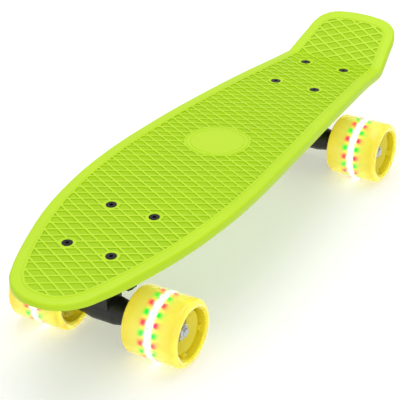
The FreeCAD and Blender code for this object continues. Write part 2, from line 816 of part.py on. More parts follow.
def make_pivot_cup(label):
    """A urethane cup; its frame is at the pivot point with Z along the steering axis."""
    half_cup = pivot_cup_deep / 2
    bore = pivot_pin_round + pivot_slack
    floor_at = half_cup - pivot_cup_wall
    return turned_body(
        label,
        [
            (0, floor_at),
            (bore, floor_at),
            (bore, -half_cup),
            (cup_round, -half_cup),
            (cup_round, half_cup),
            (0, half_cup),
        ],
    )


# ---------------------------------------------------------------- trucks: what swings


def from_axle(point):
    """A point of the truck's middle plane, measured from the axle."""
    return point[0] - axle_outboard, point[1] + truck_height


def make_hanger(label):
    """The cast hanger; its frame is at the axle's middle, parallel to the truck's frame."""
    body = new_body(label)
    beam = new_sketch(body, "XY_Plane")
    draw_polygon(
        beam,
        [
            (-hanger_half, 0),
            (-hanger_half, beam_face_round),
            (1.5 - hanger_half, beam_end_round),
            (-beam_taper_half, beam_end_round),
            (-beam_mid_half, beam_mid_round),
            (beam_mid_half, beam_mid_round),
            (beam_taper_half, beam_end_round),
            (hanger_half - 1.5, beam_end_round),
            (hanger_half, beam_face_round),
            (hanger_half, 0),
        ],
    )
    turned = add_turned(body, beam)
    turned.ReferenceAxis = (origin_part(body, "X_Axis"), [""])
    web = new_sketch(body, "YZ_Plane")
    stem_back = steer_reach - 26
    corners = [
        as_stack(ring_outer - 1, -half_ring),
        as_stack(ring_bore + 2, -half_ring),
        as_stack(ring_bore + 2, half_ring),
        as_stack(ring_outer - 1, half_ring),
        as_steer(0.5, -stem_back + 2),
        as_steer(stem_root_round, -stem_back + 3),
        as_steer(stem_root_round, -stem_back + 8),
        as_steer(-stem_root_round, -stem_back + 10),
        (axle_outboard + beam_mid_round * 0.9, -truck_height + beam_mid_round * 0.3),
        (axle_outboard, -truck_height - beam_mid_round * 0.6),
        (axle_outboard - beam_mid_round * 0.9, -truck_height + beam_mid_round * 0.3),
        as_stack(ring_outer + 1.5, -half_ring - 1.5),
    ]
    draw_polygon(web, [from_axle(corner) for corner in corners])
    add_pad(body, web, web_half * 2, both_ways=True)

    def stack_point(radius, height):
        return from_axle(as_stack(radius, height))

    def steer_point(radius, distance):
        return from_axle(as_steer(radius, distance))

    pin_end = pivot_cup_deep / 2 - pivot_cup_wall - pivot_slack * 3
    pin_root = -pivot_cup_deep / 2 - 1.5
    stem = [
        steer_point(0, -stem_back),
        steer_point(stem_root_round, -stem_back),
        steer_point(stem_root_round, pin_root - 1.5),
        steer_point(pivot_pin_round, pin_root),
        steer_point(pivot_pin_round, pin_end - 1),
        steer_point(pivot_pin_round - 1, pin_end),
        steer_point(0, pin_end),
    ]
    turned_in_plane(body, stem, (stem[0], stem[-1]), "Revolution")
    slanting_cylinder(body, stack_point, ring_outer, -half_ring, half_ring, "Revolution")
    slanting_cylinder(body, stack_point, ring_bore, -half_ring - 3, half_ring + 3, "Groove")
    bore = new_sketch(body, "YZ_Plane")
    draw_circle(bore, (0, 0), axle_round + axle_slack)
    add_pocket(body, bore, hanger_half * 3, both_ways=True)
    return body


def make_axle(label):
    """The steel axle; its frame is at its middle with Z along it."""
    half = wheel_middle + bearing_far + washer_thick + axle_nut_thick + axle_proud
    return turned_body(
        label,
        [
            (0, -half),
            (axle_round - 0.7, -half),
            (axle_round, 0.7 - half),
            (axle_round, half - 0.7),
            (axle_round - 0.7, half),
            (0, half),
        ],
    )


axle_bore = axle_round + axle_slack
outer_nut_at = bearing_far + washer_thick
washer = turned_body(
    "speed_washer_master", ring_profile(axle_bore, washer_round, bearing_far, bearing_far + washer_thick)
)
axle_nut = lock_nut(
    "axle_nut_master", axle_nut_wide, axle_nut_thick, axle_bore, -outer_nut_at
)
inner_race = turned_body(
    "inner_race_master",
    ring_profile(bearing_bore / 2, inner_race_round, -bearing_thick / 2, bearing_thick / 2),
)
outer_race = turned_body(
    "outer_race_master",
    ring_profile(outer_race_round, bearing_round, -bearing_thick / 2, bearing_thick / 2),
)
shield_at = bearing_thick / 2 - shield_sink
shield = turned_body(
    "shield_master",
    ring_profile(
        inner_race_round + shield_slack, outer_race_round - tyre_slack, shield_at - shield_thick, shield_at
    ),
)
magnet = turned_body(
    "magnet_spacer_master",
    [
        (axle_bore, -bearing_near),
        (magnet_end_round, -bearing_near),
        (magnet_end_round, magnet_step - bearing_near),
        (magnet_round, magnet_step - bearing_near),
        (magnet_round, bearing_near - magnet_step),
        (magnet_end_round, bearing_near - magnet_step),
        (magnet_end_round, bearing_near),
        (axle_bore, bearing_near),
    ],
)

flip = turn_about(X_AXIS, 180)
bearing_middle = (bearing_near + bearing_thick / 2).number
bearing_places = [move(0, 0, bearing_middle), move(0, 0, -bearing_middle)]

# ---------------------------------------------------------------- wheels


def make_tyre(label):
    """The clear urethane tyre, cast over the core and the light ring."""
    half = wheel_wide / 2
    bore = core_round + tyre_slack
    groove = led_outer + light_space
    groove_half = board_wide / 2 + light_space
    face = wheel_round - 5
    lip = core_half + 0.5
    body = turned_body(
        label,
        [
            (bore, lip),
            (face, half),
            (wheel_round, half),
            (wheel_round, -half),
            (face, -half),
            (bore, -lip),
            (bore, -groove_half),
            (groove, -groove_half),
            (groove, groove_half),
            (bore, groove_half),
        ],
    )

    def is_shoulder(edge):
        circle = getattr(edge.Curve, "Radius", 0)
        return abs(circle - wheel_round.number) < 0.01 and edge.Closed

    round_edges(body, tyre_edge_round, is_shoulder)
    return body


def make_core(label):
    """The moulded core: hub with two bearing seats, web, outer tube and posts in the ring channels."""
    seat = bearing_round + bearing_seat_slack
    shoulder = bearing_round - bearing_shoulder
    dish = hub_round - hub_lip
    half = [
        (shoulder, bearing_near),
        (seat, bearing_near),
        (seat, bearing_far + 0.5),
        (dish, hub_half),
        (hub_round, hub_half),
        (hub_round, channel_floor),
        (channel_outer, channel_floor),
        (channel_outer, core_half),
        (core_round, core_half),
    ]
    body = turned_body(label, half + [(radius, -height) for radius, height in reversed(half)])
    angles = [math.radians(FIRST_POST_ANGLE + step * 360 / POST_COUNT) for step in range(POST_COUNT)]
    centres = [(post_circle * math.cos(angle), post_circle * math.sin(angle)) for angle in angles]
    post_top = core_half - post_sink
    for outward in (1, -1):
        posts = new_sketch(body, "XY_Plane", channel_floor * outward)
        for centre in centres:
            draw_circle(posts, centre, post_round)
        add_pad(body, posts, post_top - channel_floor, reverse=outward < 0)
        holes = new_sketch(body, "XY_Plane", post_top * outward)
        for centre in centres:
            draw_circle(holes, centre, post_hole_round)
        add_pocket(body, holes, post_hole_deep, reverse=outward < 0)
    return body


def make_light_ring(label):
    """The flexible board that carries the lights and the coil that the magnet spacer drives."""
    inner = core_round + tyre_slack
    return turned_body(label, ring_profile(inner, board_outer, -board_wide / 2, board_wide / 2))


led = new_body("led_master")
led_sketch = new_sketch(led, "YZ_Plane", board_outer + tyre_slack)
half_across = led_across / 2
half_led = led_long / 2
draw_polygon(
    led_sketch,
    [(-half_across, -half_led), (half_across, -half_led), (half_across, half_led), (-half_across, half_led)],
)
add_pad(led, led_sketch, led_tall)
led_places = [turn_about(Z_AXIS, step * 360 / LED_COUNT) for step in range(LED_COUNT)]

cage = turned_body(
    "cage_master",
    ring_profile(
        ball_pitch_round - cage_half_wall,
        ball_pitch_round + cage_half_wall,
        -cage_half_thick,
        cage_half_thick,
    ),
)
pocket_sketch = new_sketch(cage, "YZ_Plane")
draw_circle(pocket_sketch, (0, 0), ball_wide / 2 + ball_slack)
ball_pocket = add_pocket(cage, pocket_sketch, bearing_round, reverse=True)
pockets = cage.newObject("PartDesign::PolarPattern", "ball_pockets")
pockets.Originals = [ball_pocket]
pockets.Axis = (origin_part(cage, "Z_Axis"), [""])
pockets.Angle = 360
pockets.Occurrences = BALL_COUNT
cage.Tip = pockets

ball = document.addObject("Part::Sphere", "ball_master")
ball.setExpression("Radius", (ball_wide / 2).formula)


def make_cages(label):
    """Two ball cages with their balls, as separate solids."""
    document.recompute()
    solids = []
    for place in bearing_places:
        ring = cage.Shape.copy()
        ring.Placement = place
        solids.append(ring)
        for step in range(BALL_COUNT):
            one = ball.Shape.copy()
            spoke = turn_about(Z_AXIS, step * 360 / BALL_COUNT)
            one.Placement = place * spoke * move(ball_pitch_round.number, 0, 0)
            solids.append(one)
    group = document.addObject("Part::Feature", label)
    group.Label = label
    group.Shape = Part.makeCompound(solids)
    return group


# ---------------------------------------------------------------- assembly

for end, end_name in ((-1, "front"), (1, "rear")):
    truck = truck_place(end)
    stack = stack_place(end)
    board_lip = bushing_round + cup_slack
    road_lip = road_bushing_tip + cup_slack + 0.4
    keep(make_baseplate(f"{end_name}_baseplate"), truck)
    keep(make_pivot_cup(f"{end_name}_pivot_cup"), pivot_place(end))
    keep(make_kingpin(f"{end_name}_kingpin"), stack)
    keep(make_board_bushing(f"{end_name}_board_bushing"), stack)
    keep(make_road_bushing(f"{end_name}_road_bushing"), stack)
    keep(make_cup_washer(f"{end_name}_large_cup_washer", board_cup_at, board_lip, 1), stack)
    keep(make_cup_washer(f"{end_name}_small_cup_washer", road_cup_at, road_lip, -1), stack)
    kingpin_nut = lock_nut(
        f"{end_name}_kingpin_nut",
        kingpin_nut_wide,
        kingpin_nut_thick,
        kingpin_round + thread_slack,
        nut_at,
    )
    keep(kingpin_nut, stack)

    keep(make_hanger(f"{end_name}_hanger"), axle_place(end))
    keep(make_axle(f"{end_name}_axle"), axle_place(end) * turn_about(Y_AXIS, 90))
    wheels = [wheel_place(end, side) for side in (1, -1)]
    races = [wheel * place for wheel in wheels for place in bearing_places]
    keep(grouped(f"{end_name}_axle_nuts", axle_nut, [wheel * flip for wheel in wheels]))
    washer_places = [wheel * way for wheel in wheels for way in (move(0, 0, 0), flip)]
    keep(grouped(f"{end_name}_speed_washers", washer, washer_places))
    keep(grouped(f"{end_name}_bearing_inner_races", inner_race, races))
    keep(grouped(f"{end_name}_magnet_spacers", magnet, wheels))

    for side, side_name in ((1, "left"), (-1, "right")):
        name = f"{end_name}_{side_name}"
        place = wheel_place(end, side)
        keep(make_tyre(f"{name}_tyre"), place)
        keep(make_core(f"{name}_core"), place)
        keep(make_light_ring(f"{name}_light_ring"), place)
        keep(grouped(f"{name}_leds", led, led_places), place)
        keep(grouped(f"{name}_bearing_outer_races", outer_race, bearing_places), place)
        shield_places = [seat * way for seat in bearing_places for way in (move(0, 0, 0), flip)]
        keep(grouped(f"{name}_bearing_shields", shield, shield_places), place)
        keep(make_cages(f"{name}_ball_cages"), place)

# ---------------------------------------------------------------- check and write

document.recompute()
for item in document.Objects:
    faults = {"Invalid", "Error"} & set(item.State)
    if faults:
        raise RuntimeError(f"{item.Label}: {faults}")
for part in sub_parts:
    if part.Shape.isNull() or not part.Shape.isValid():
        raise RuntimeError(f"{part.Label} has no valid shape")

os.makedirs("parts", exist_ok=True)
for part in sub_parts:
    part.Shape.exportStep(f"parts/{part.Label}.step")

print(f"{len(sub_parts)} sub-parts written")
print(f"apex {apex_height:.3f} high at y {apex_along:.3f}; camber lean {camber_lean:.4f}")
for end, end_name in ((-1, "front"), (1, "rear")):
    pivot = pivot_place(end)
    direction = pivot.Rotation.multVec(Z_AXIS)
    axle = axle_place(end).Base
    print(end_name, "pivot", [round(v, 4) for v in pivot.Base], "axis", [round(v, 6) for v in direction])
    print(end_name, "axle", [round(v, 4) for v in axle], "wheel middle", round(wheel_middle.number, 3))
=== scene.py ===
# %% [markdown]
# # A mini cruiser skateboard with wheels that light up
#
# The real board is one thick moulding of lime plastic on two black trucks. Four wide wheels of clear yellow
# urethane have a band of lights cast inside them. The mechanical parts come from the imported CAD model. This
# lesson gives them real finishes, and models anew what CAD left plain: the waffle deck, the cast tyres and the
# soft bushings.

# %% Load the frame
import bmesh
import bpy
import json
import math
from mathutils import Matrix, Vector


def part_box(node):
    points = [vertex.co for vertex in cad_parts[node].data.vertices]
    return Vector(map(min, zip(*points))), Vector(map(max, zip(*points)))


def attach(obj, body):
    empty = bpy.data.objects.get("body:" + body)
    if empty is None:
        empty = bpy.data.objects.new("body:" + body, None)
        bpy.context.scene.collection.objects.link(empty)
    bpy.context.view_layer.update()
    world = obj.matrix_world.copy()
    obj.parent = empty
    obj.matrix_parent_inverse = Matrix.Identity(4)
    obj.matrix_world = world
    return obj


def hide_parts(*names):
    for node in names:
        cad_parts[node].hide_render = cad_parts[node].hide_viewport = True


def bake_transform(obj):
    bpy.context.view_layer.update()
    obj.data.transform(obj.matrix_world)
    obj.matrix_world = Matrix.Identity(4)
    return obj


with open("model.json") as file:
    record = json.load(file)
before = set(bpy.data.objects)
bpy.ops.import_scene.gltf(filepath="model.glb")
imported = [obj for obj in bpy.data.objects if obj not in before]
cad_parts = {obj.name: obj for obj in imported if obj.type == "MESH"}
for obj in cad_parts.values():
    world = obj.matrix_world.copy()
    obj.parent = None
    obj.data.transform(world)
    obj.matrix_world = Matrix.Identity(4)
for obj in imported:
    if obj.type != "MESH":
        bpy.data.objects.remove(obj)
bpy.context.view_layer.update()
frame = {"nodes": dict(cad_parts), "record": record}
MM = 0.001

# %% [markdown]
# ## Helpers for materials
#
# Colours are written as sRGB hex values, the way a paint chart gives them, and turned to the linear values that
# the renderer works in. One function adds a node with its settings and its links, so each material below reads
# as a list of what it is made of.

# %% Colour and node helpers


def linear(hex_colour):
    """A hex colour such as 'A4D424' as linear red, green, blue and alpha."""
    channels = [int(hex_colour[start:start + 2], 16) / 255 for start in (0, 2, 4)]
    straight = [c / 12.92 if c <= 0.04045 else ((c + 0.055) / 1.055) ** 2.4 for c in channels]
    return (*straight, 1.0)


def add_node(tree, kind, settings=None, inputs=None):
    """Add a node, set its properties, then fill its inputs with values or with other nodes' outputs."""
    made = tree.nodes.new(kind)
    for name, value in (settings or {}).items():
        setattr(made, name, value)
    for name, value in (inputs or {}).items():
        if isinstance(value, bpy.types.NodeSocket):
            tree.links.new(value, made.inputs[name])
        else:
            made.inputs[name].default_value = value
    return made


def start_material(name, sockets):
    """A node material whose Principled shader has the given constant sockets."""
    material = bpy.data.materials.new(name)
    material.use_nodes = True
    shader = material.node_tree.nodes["Principled BSDF"]
    for socket, value in sockets.items():
        shader.inputs[socket].default_value = value
    return material, material.node_tree, shader


def surface_detail(tree, shader, colours, patch, grain, depth, roughness):
    """Uneven colour and gloss in patches, and a fine bumpy grain. Sizes are in metres."""
    place = add_node(tree, "ShaderNodeTexCoord").outputs["Object"]
    patches = add_node(
        tree, "ShaderNodeTexNoise", inputs={"Vector": place, "Scale": 1 / patch, "Detail": 3.0}
    ).outputs["Fac"]
    colour = add_node(
        tree,
        "ShaderNodeMix",
        {"data_type": "RGBA"},
        {"Factor": patches, "A": linear(colours[0]), "B": linear(colours[1])},
    )
    tree.links.new(colour.outputs["Result"], shader.inputs["Base Color"])
    gloss = add_node(
        tree,
        "ShaderNodeMapRange",
        inputs={"Value": patches, "From Min": 0.3, "From Max": 0.7, "To Min": roughness[0], "To Max": roughness[1]},
    )
    tree.links.new(gloss.outputs["Result"], shader.inputs["Roughness"])
    fine = add_node(
        tree, "ShaderNodeTexNoise", inputs={"Vector": place, "Scale": 1 / grain, "Detail": 2.0}
    ).outputs["Fac"]
    bump = add_node(tree, "ShaderNodeBump", inputs={"Height": fine, "Distance": depth, "Strength": 1.0})
    tree.links.new(bump.outputs["Normal"], shader.inputs["Normal"])
    return place


finishes = {}

# %% [markdown]
# ## Lime polypropylene
#
# The deck is injection-moulded polypropylene, dyed through. Its mould was lightly etched, so the plastic is
# satin: highlights are broad, and a fine grain breaks them up. A little unevenness of colour keeps the large top
# from looking like paint.

# %% Deck plastic
material, tree, shader = start_material(
    "moulded_polypropylene_lime", {"IOR": 1.49, "Specular IOR Level": 0.45}
)
surface_detail(
    tree, shader, ("C0E801", "CBF207"), patch=60 * MM, grain=0.9 * MM, depth=0.04 * MM, roughness=(0.36, 0.44)
)
finishes["deck_plastic"] = material

# Painted shade: the pressed cells take a rougher copy whose colour is darker, for the shade in the recesses.
material, tree, shader = start_material(
    "moulded_polypropylene_lime_etched_painted_shade", {"IOR": 1.49, "Specular IOR Level": 0.3}
)
surface_detail(
    tree, shader, ("ABD501", "B4DE04"), patch=40 * MM, grain=0.6 * MM, depth=0.08 * MM, roughness=(0.5, 0.6)
)
finishes["deck_plastic_etched_painted_shade"] = material

# %% [markdown]
# ## Black parts of the trucks
#
# Base plates and hangers are die-cast aluminium with black powder coat, which has a slight orange peel. The
# kingpins, their washers and the deck bolts are steel with a thinner black oxide, so they are smoother.

# %% Powder coat and black oxide
material, tree, shader = start_material("powder_coat_black", {"IOR": 1.5})
surface_detail(
    tree, shader, ("17181A", "1D1E20"), patch=9 * MM, grain=0.7 * MM, depth=0.05 * MM, roughness=(0.32, 0.46)
)
finishes["black_paint"] = material

material, tree, shader = start_material("steel_black_oxide", {"Metallic": 0.6})
surface_detail(
    tree, shader, ("1B1B1D", "252528"), patch=3 * MM, grain=0.3 * MM, depth=0.01 * MM, roughness=(0.3, 0.4)
)
finishes["black_steel"] = material

material, tree, shader = start_material("urethane_black", {"IOR": 1.5})
surface_detail(
    tree, shader, ("161616", "202020"), patch=6 * MM, grain=0.5 * MM, depth=0.02 * MM, roughness=(0.4, 0.55)
)
finishes["black_urethane"] = material

# %% [markdown]
# ## Bright metal
#
# Races and axles are ground steel, the axle nuts are zinc plated, and the magnet spacers are nickel plated. All
# three are metals, so their colour is the colour of their reflection, and they keep the default IOR.

# %% Steel, zinc and nickel
METALS = {
    "bearing_steel": ("steel_ground", ("B9BABC", "C6C7C9"), (0.16, 0.26)),
    "bright_nut": ("zinc_plated_steel", ("C2C4C6", "D2D4D5"), (0.14, 0.24)),
    "magnet_nickel": ("nickel_plated_magnet", ("B4B0A6", "C2BEB4"), (0.12, 0.2)),
}
for slot_name, (metal_name, colours, roughness) in METALS.items():
    material, tree, shader = start_material(metal_name, {"Metallic": 1.0})
    surface_detail(
        tree, shader, colours, patch=4 * MM, grain=0.4 * MM, depth=0.006 * MM, roughness=roughness
    )
    finishes[slot_name] = material

# %% [markdown]
# ## Wheel plastics
#
# The core is moulded from yellow plastic that lets some light through, and the bearing shields are a paler
# yellow nylon. The core also has a faint painted glow, though it is no lamp.

# %% Core and shields
material, tree, shader = start_material("core_polycarbonate_yellow", {"IOR": 1.58})
surface_detail(
    tree, shader, ("E9D818", "F3E532"), patch=12 * MM, grain=0.8 * MM, depth=0.015 * MM, roughness=(0.22, 0.32)
)
# Painted light: a faint glow on the core.
shader.inputs["Emission Color"].default_value = linear("EEE030")
shader.inputs["Emission Strength"].default_value = 0.06
finishes["yellow_plastic"] = material

material, tree, shader = start_material("shield_nylon_yellow", {"IOR": 1.53})
surface_detail(
    tree, shader, ("F2DE3A", "F7E65A"), patch=5 * MM, grain=0.5 * MM, depth=0.01 * MM, roughness=(0.35, 0.45)
)
finishes["yellow_shield"] = material

# %% [markdown]
# ## Lights
#
# The lights sit on a flexible white board that is wrapped round the core. Each package is white in its middle
# and coloured at its two ends, red and green in turn round the wheel. The distance from the wheel's middle plane
# tells the ends from the middle, and the angle about the axle tells red from green. Both come from Object
# coordinates, so the colours turn with the wheel.

# %% Light board and light packages
WHEEL_MIDDLE = 54.8 * MM
AXLE_HEIGHT = 29 * MM
AXLE_ALONG = {"front": -187.934 * MM, "rear": 178.934 * MM}
TRUCK_TILT = math.radians(3.748)
TRUCK_LEAN = {"front": TRUCK_TILT, "rear": -TRUCK_TILT}
LIGHT_COUNT = 20


def from_wheel_middle(tree, place):
    """How far a point is from its wheel's middle plane, whichever side it is on."""
    parts = add_node(tree, "ShaderNodeSeparateXYZ", inputs={"Vector": place})
    side = add_node(tree, "ShaderNodeMath", {"operation": "ABSOLUTE"}, {0: parts.outputs["X"]})
    offset = add_node(
        tree, "ShaderNodeMath", {"operation": "SUBTRACT"}, {0: side.outputs[0], 1: WHEEL_MIDDLE}
    )
    return add_node(tree, "ShaderNodeMath", {"operation": "ABSOLUTE"}, {0: offset.outputs[0]}).outputs[0]


material, tree, shader = start_material("flexible_light_board_white", {"Roughness": 0.5})
place = surface_detail(
    tree, shader, ("F4F6EE", "FBFCF6"), patch=6 * MM, grain=0.6 * MM, depth=0.01 * MM, roughness=(0.4, 0.5)
)
# Painted light: the board glows strongly in a band along the lights and faintly elsewhere, though it is no lamp.
distance = from_wheel_middle(tree, place)
band = add_node(
    tree,
    "ShaderNodeMapRange",
    {"interpolation_type": "SMOOTHSTEP"},
    {"Value": distance, "From Min": 2.2 * MM, "From Max": 4.6 * MM, "To Min": 2.6, "To Max": 0.25},
)
tree.links.new(band.outputs["Result"], shader.inputs["Emission Strength"])
shader.inputs["Emission Color"].default_value = linear("FFFDF2")
finishes["white_board"] = material


def wheel_pattern(tree, end):
    """Object coordinates, the position round the wheel counted in lights, and each light's end colour."""
    place = add_node(tree, "ShaderNodeTexCoord").outputs["Object"]
    centred = add_node(
        tree,
        "ShaderNodeMapping",
        {"vector_type": "TEXTURE"},
        {"Vector": place, "Location": (0, AXLE_ALONG[end], AXLE_HEIGHT), "Rotation": (TRUCK_LEAN[end], 0, 0)},
    )
    parts = add_node(tree, "ShaderNodeSeparateXYZ", inputs={"Vector": centred.outputs["Vector"]})
    angle = add_node(
        tree, "ShaderNodeMath", {"operation": "ARCTAN2"}, {0: parts.outputs["Z"], 1: parts.outputs["Y"]}
    )
    turns = add_node(
        tree,
        "ShaderNodeMath",
        {"operation": "MULTIPLY_ADD"},
        {0: angle.outputs[0], 1: LIGHT_COUNT / (2 * math.pi), 2: float(LIGHT_COUNT)},
    )
    number = add_node(tree, "ShaderNodeMath", {"operation": "ROUND"}, {0: turns.outputs[0]})
    odd = add_node(tree, "ShaderNodeMath", {"operation": "PINGPONG"}, {0: number.outputs[0], 1: 1.0})
    ends = add_node(
        tree,
        "ShaderNodeMix",
        {"data_type": "RGBA"},
        {"Factor": odd.outputs[0], "A": linear("FF3A66"), "B": linear("22E046")},
    )
    return place, turns.outputs[0], ends.outputs["Result"]


light_materials = {}
for end in AXLE_ALONG:
    material, tree, shader = start_material(f"light_package_{end}", {"Roughness": 0.25})
    place, turns, ends = wheel_pattern(tree, end)
    distance = from_wheel_middle(tree, place)
    is_end = add_node(
        tree,
        "ShaderNodeMapRange",
        inputs={"Value": distance, "From Min": 2.6 * MM, "From Max": 3.4 * MM, "To Min": 0.0, "To Max": 1.0},
    )
    colour = add_node(
        tree,
        "ShaderNodeMix",
        {"data_type": "RGBA"},
        {"Factor": is_end.outputs["Result"], "A": linear("FFFEF4"), "B": ends},
    )
    tree.links.new(colour.outputs["Result"], shader.inputs["Base Color"])
    tree.links.new(colour.outputs["Result"], shader.inputs["Emission Color"])
    shader.inputs["Emission Strength"].default_value = 1.4
    light_materials[end] = material

# %% [markdown]
# ## Clear urethane
#
# The tyres are cast from clear urethane with a yellow dye, and polished moulds leave them glossy. The lights
# inside shine out through a lens of urethane, so from outside they look as large as the tyre's surface: a white
# band round the middle with a saw edge, and a red or green patch beside each light. Real light would take very
# many samples to find its way through the tyre, so the shader transmits part of the light and glows in the same
# pattern as the lights below it.

# %% Tyre urethane
LIGHT_BAND_HALF = 3.6 * MM
LIGHT_PATCH_OFFSET = 5.4 * MM
tyre_materials = {}
for end in AXLE_ALONG:
    material, tree, shader = start_material(
        f"cast_urethane_clear_yellow_{end}", {"IOR": 1.5, "Transmission Weight": 0.6, "Roughness": 0.06}
    )
    place, turns, ends = wheel_pattern(tree, end)
    distance = from_wheel_middle(tree, place)
    # 1 at the middle of each light and 0 half way to the next one
    wave = add_node(
        tree, "ShaderNodeMath", {"operation": "PINGPONG"},
        {0: add_node(tree, "ShaderNodeMath", {"operation": "ADD"}, {0: turns, 1: 0.5}).outputs[0], 1: 0.5},
    ).outputs[0]
    saw = add_node(
        tree, "ShaderNodeMath", {"operation": "MULTIPLY_ADD"}, {0: wave, 1: -3.2 * MM, 2: distance}
    ).outputs[0]
    band = add_node(
        tree, "ShaderNodeMapRange", {"interpolation_type": "SMOOTHSTEP"},
        {"Value": saw, "From Min": 0.4 * MM, "From Max": LIGHT_BAND_HALF, "To Min": 1.0, "To Max": 0.0},
    ).outputs["Result"]
    from_patch = add_node(
        tree, "ShaderNodeMath", {"operation": "SUBTRACT"}, {0: distance, 1: LIGHT_PATCH_OFFSET}
    ).outputs[0]
    from_patch = add_node(tree, "ShaderNodeMath", {"operation": "ABSOLUTE"}, {0: from_patch}).outputs[0]
    across = add_node(
        tree, "ShaderNodeMapRange", {"interpolation_type": "SMOOTHSTEP"},
        {"Value": from_patch, "From Min": 0.4 * MM, "From Max": 5.6 * MM, "To Min": 1.0, "To Max": 0.0},
    ).outputs["Result"]
    around = add_node(
        tree, "ShaderNodeMapRange", {"interpolation_type": "SMOOTHSTEP"},
        {"Value": wave, "From Min": 0.0, "From Max": 0.4, "To Min": 0.0, "To Max": 1.0},
    ).outputs["Result"]
    patch = add_node(tree, "ShaderNodeMath", {"operation": "MULTIPLY"}, {0: across, 1: around}).outputs[0]
    # Painted light: the urethane is paler near the lights in the middle, deeper yellow towards the sides.
    painted_glow_falloff = add_node(
        tree, "ShaderNodeMapRange", {"interpolation_type": "SMOOTHSTEP"},
        {"Value": distance, "From Min": 8 * MM, "From Max": 26 * MM, "To Min": 0.0, "To Max": 1.0},
    ).outputs["Result"]
    body = add_node(
        tree, "ShaderNodeMix", {"data_type": "RGBA"},
        {"Factor": painted_glow_falloff, "A": linear("F8F684"), "B": linear("F6EA58")},
    ).outputs["Result"]
    tinted = add_node(
        tree, "ShaderNodeMix", {"data_type": "RGBA"}, {"Factor": patch, "A": body, "B": ends}
    ).outputs["Result"]
    colour = add_node(
        tree, "ShaderNodeMix", {"data_type": "RGBA"}, {"Factor": band, "A": tinted, "B": linear("FFFFFF")}
    ).outputs["Result"]
    tree.links.new(colour, shader.inputs["Base Color"])
    tree.links.new(colour, shader.inputs["Emission Color"])
    # Painted light: the whole tyre glows faintly, and more strongly in the band and patches over the lights.
    lit = add_node(tree, "ShaderNodeMath", {"operation": "MAXIMUM"}, {0: band, 1: patch}).outputs[0]
    glow = add_node(
        tree, "ShaderNodeMapRange", inputs={"Value": lit, "To Min": 0.17, "To Max": 0.4}
    ).outputs["Result"]
    tree.links.new(glow, shader.inputs["Emission Strength"])
    ripple = add_node(
        tree, "ShaderNodeTexNoise", inputs={"Vector": place, "Scale": 1 / (5 * MM), "Detail": 1.0}
    ).outputs["Fac"]
    bump = add_node(
        tree, "ShaderNodeBump", inputs={"Height": ripple, "Distance": 0.06 * MM, "Strength": 1.0}
    ).outputs["Normal"]
    tree.links.new(bump, shader.inputs["Normal"])
    tyre_materials[end] = material
finishes["clear_yellow_urethane"] = tyre_materials["front"]

# %% [markdown]
# ## Finishes on the CAD pieces
#
# The record names a material slot for every CAD node, and each node takes the finish of its slot. The light
# packages take the finish of their own end of the board, front or rear.

# %% Give every CAD node its finish
slots = {entry["node"]: entry["material_slot"] for entry in frame["record"]["subparts"]}
for name, item in frame["nodes"].items():
    finish = finishes.get(slots[name])
    if slots[name] == "led_lens":
        finish = light_materials[name.split("_")[0]]
    item.data.materials.clear()
    item.data.materials.append(finish)
print(len(frame["nodes"]), "CAD nodes have finishes")

# %% [markdown]
# ## The deck's shape
#
# The board is easiest to draw flat. Its plan is a closed curve through a few points down one side. The deck is
# crowned along its length like a bow, and its tail is kicked up after a tight bend. So the mesh is carved as a
# flat slab, and one function then lifts each point to its height over the crown and the kick.

# %% Deck sizes and the lift from flat to crowned
APEX = Vector((0, -4.5, 103.324)) * MM
CROWN_RADIUS = 2677 * MM
KICK_START = 225.2 * MM
KICK_RISE = math.radians(24.3)
KICK_BEND = 14 * MM
DECK_THICK = 9 * MM
THIN_FROM = -222 * MM
THIN_RUN = 55 * MM
NOSE_THINNING = 0.3
crown_slope = math.asin(KICK_START / CROWN_RADIUS)
bend_along = KICK_START + KICK_BEND * math.sin(crown_slope)
bend_height = math.sqrt(CROWN_RADIUS**2 - KICK_START**2) - CROWN_RADIUS + KICK_BEND * math.cos(crown_slope)
bend_end = bend_along + KICK_BEND * math.sin(KICK_RISE)


def on_deck(point):
    """Where a point of the flat board is once the board is crowned and kicked, and thinned at its nose."""
    along = point.y
    below = point.z
    if along < THIN_FROM and below < 0:
        below *= 1 - NOSE_THINNING * min(1, (THIN_FROM - along) / THIN_RUN)
    if along <= KICK_START:
        slope = -math.asin(along / CROWN_RADIUS)
        height = math.sqrt(CROWN_RADIUS**2 - along**2) - CROWN_RADIUS
    elif along <= bend_end:
        slope = math.asin((along - bend_along) / KICK_BEND)
        height = bend_height - math.sqrt(KICK_BEND**2 - (along - bend_along) ** 2)
    else:
        slope = KICK_RISE
        height = bend_height - KICK_BEND * math.cos(KICK_RISE) + (along - bend_end) * math.tan(KICK_RISE)
    return APEX + Vector((point.x, along, height + below / math.cos(slope)))


print("the tail's end is", round(on_deck(Vector((0, 0.292, 0))).z / MM, 1), "mm above the ground")

# %% [markdown]
# ## The deck's plan
#
# A Bezier curve with automatic handles passes smoothly through the half-widths measured down the board. Blender
# turns it to a ring of edges, and bmesh fills the ring with one face.

